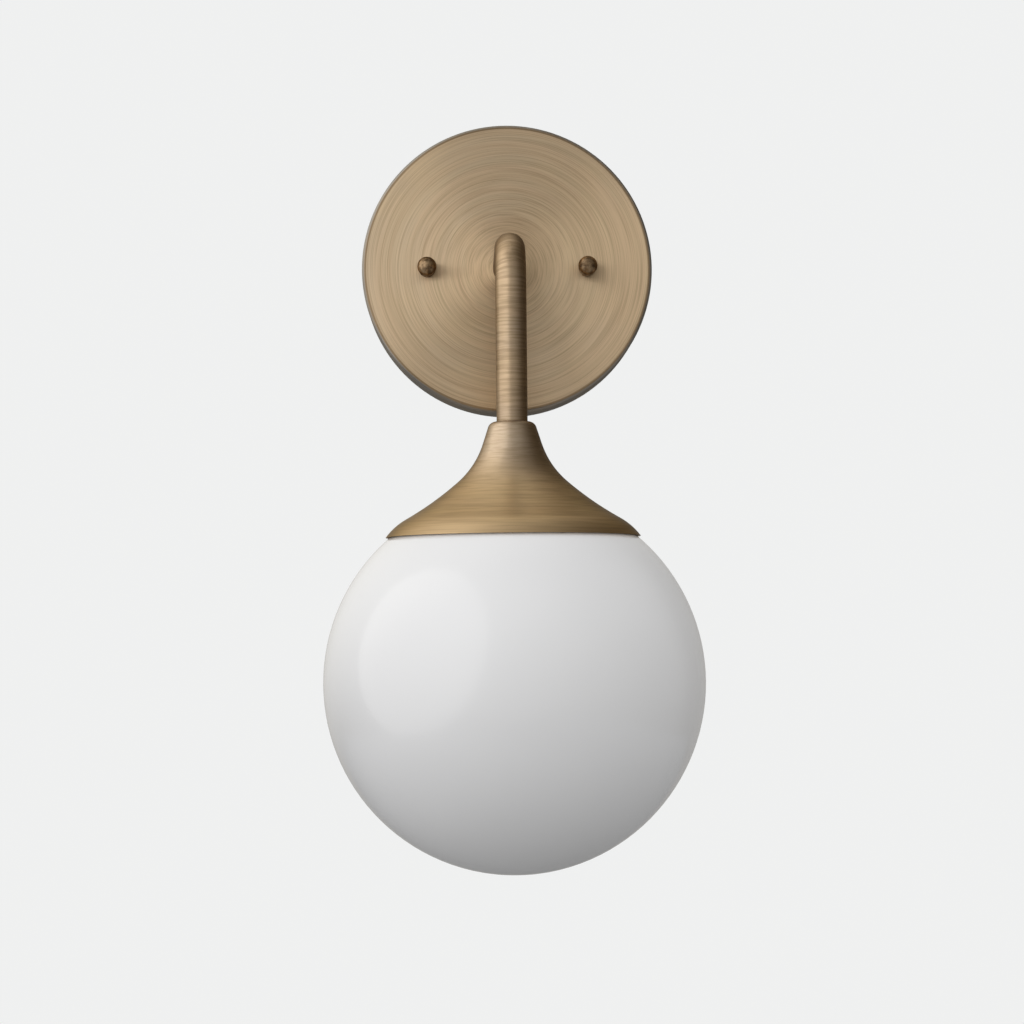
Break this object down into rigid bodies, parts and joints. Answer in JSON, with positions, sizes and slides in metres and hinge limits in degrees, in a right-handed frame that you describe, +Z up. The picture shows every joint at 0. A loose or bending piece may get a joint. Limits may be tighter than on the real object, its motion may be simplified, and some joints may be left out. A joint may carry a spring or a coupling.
{
  "type": "globe wall sconce",
  "caption": "Wall light with a round brushed backplate, a bent tube arm that drops straight down, and a trumpet-shaped holder over an opal glass ball.",
  "frame": {"origin": "centre of the backplate, in the plane of the wall", "axes": "+Z up, +Y into the wall, so the room is on the -Y side and +X is to the right from the room"},
  "size_m": [0.1524, 0.1642, 0.3174],
  "materials": {
    "antique_brass": "brushed antique brass, lacquered",
    "aged_brass": "dark aged brass",
    "plain_brass": "bright mill brass",
    "zinc_steel": "zinc plated steel",
    "spring_steel": "bright spring steel",
    "black_plastic": "moulded nylon",
    "black_insulation": "satin lead insulation",
    "white_insulation": "satin lead insulation",
    "socket_phenolic": "moulded phenolic",
    "connector_plastic": "moulded nylon",
    "ground_copper": "green lead insulation",
    "green_screw": "green dyed zinc plate",
    "silicone": "translucent silicone",
    "opal_glass": "glossy opal glass",
    "nickel": "nickel plated brass",
    "solder": "solder button",
    "black_glass": "black insulating glass",
    "clear_glass": "clear blown glass",
    "filament_phosphor": "amber phosphor coating"
  },
  "bodies": {
    "fixture": {"canopy": "antique_brass", "mounting_bracket": "zinc_steel", "mounting_studs": "zinc_steel", "stud_lock_nuts": "zinc_steel", "arm_tube": "antique_brass", "arm_nipple": "zinc_steel", "holder_nipple": "zinc_steel", "nipple_nuts": "zinc_steel", "lock_washers": "zinc_steel", "nipple_bushing": "black_plastic", "bell": "antique_brass", "fitter_cup": "zinc_steel", "neck_springs": "spring_steel", "spring_rivets": "spring_steel", "socket_strap": "zinc_steel", "socket_body": "socket_phenolic", "screw_shell": "plain_brass", "centre_contact": "plain_brass", "socket_rivets": "plain_brass", "socket_screws": "zinc_steel", "lead_black": "black_insulation", "lead_white": "white_insulation", "wire_connectors": "connector_plastic", "ground_lead": "ground_copper", "ground_screw": "green_screw", "ground_terminals": "plain_brass"},
    "gasket": {"globe_gasket": "silicone"},
    "globe": {"globe_glass": "opal_glass"},
    "bulb": {"bulb_base": "nickel", "bulb_insulator": "black_glass", "bulb_tip": "solder", "bulb_glass": "clear_glass", "bulb_stem": "clear_glass", "bulb_filaments": "filament_phosphor", "bulb_wires": "spring_steel"},
    "left_washer": {"washer_left": "aged_brass"},
    "left_nut": {"ball_nut_left": "aged_brass"},
    "right_washer": {"washer_right": "aged_brass"},
    "right_nut": {"ball_nut_right": "aged_brass"}
  },
  "joints": [
    {"name": "globe_turn", "type": "hinge", "parent": "fixture", "child": "gasket", "pos_m": [0, -0.088, -0.1], "axis": [0, 0, 1], "continuous": true},
    {"name": "globe_pull", "type": "slide", "parent": "gasket", "child": "globe", "axis": [0, 0, -1], "range_m": [0, 0.12]},
    {"name": "bulb_unscrew", "type": "slide", "parent": "fixture", "child": "bulb", "axis": [0, 0, -1], "range_m": [0, 0.025]},
    {"name": "left_nut_feed", "type": "slide", "parent": "fixture", "child": "left_washer", "axis": [0, -1, 0], "range_m": [0, 0.00476]},
    {"name": "left_nut_turn", "type": "hinge", "parent": "left_washer", "child": "left_nut", "pos_m": [-0.03492, -0.026, 0], "axis": [0, -1, 0], "range_deg": [0, 2160]},
    {"name": "right_nut_feed", "type": "slide", "parent": "fixture", "child": "right_washer", "axis": [0, -1, 0], "range_m": [0, 0.00476]},
    {"name": "right_nut_turn", "type": "hinge", "parent": "right_washer", "child": "right_nut", "pos_m": [0.03492, -0.026, 0], "axis": [0, -1, 0], "range_deg": [0, 2160]}
  ],
  "couplings": [
    {"joint": "left_nut_turn", "follows": "left_nut_feed", "rad_per_m": 7915.8},
    {"joint": "right_nut_turn", "follows": "right_nut_feed", "rad_per_m": 7915.8}
  ]
}
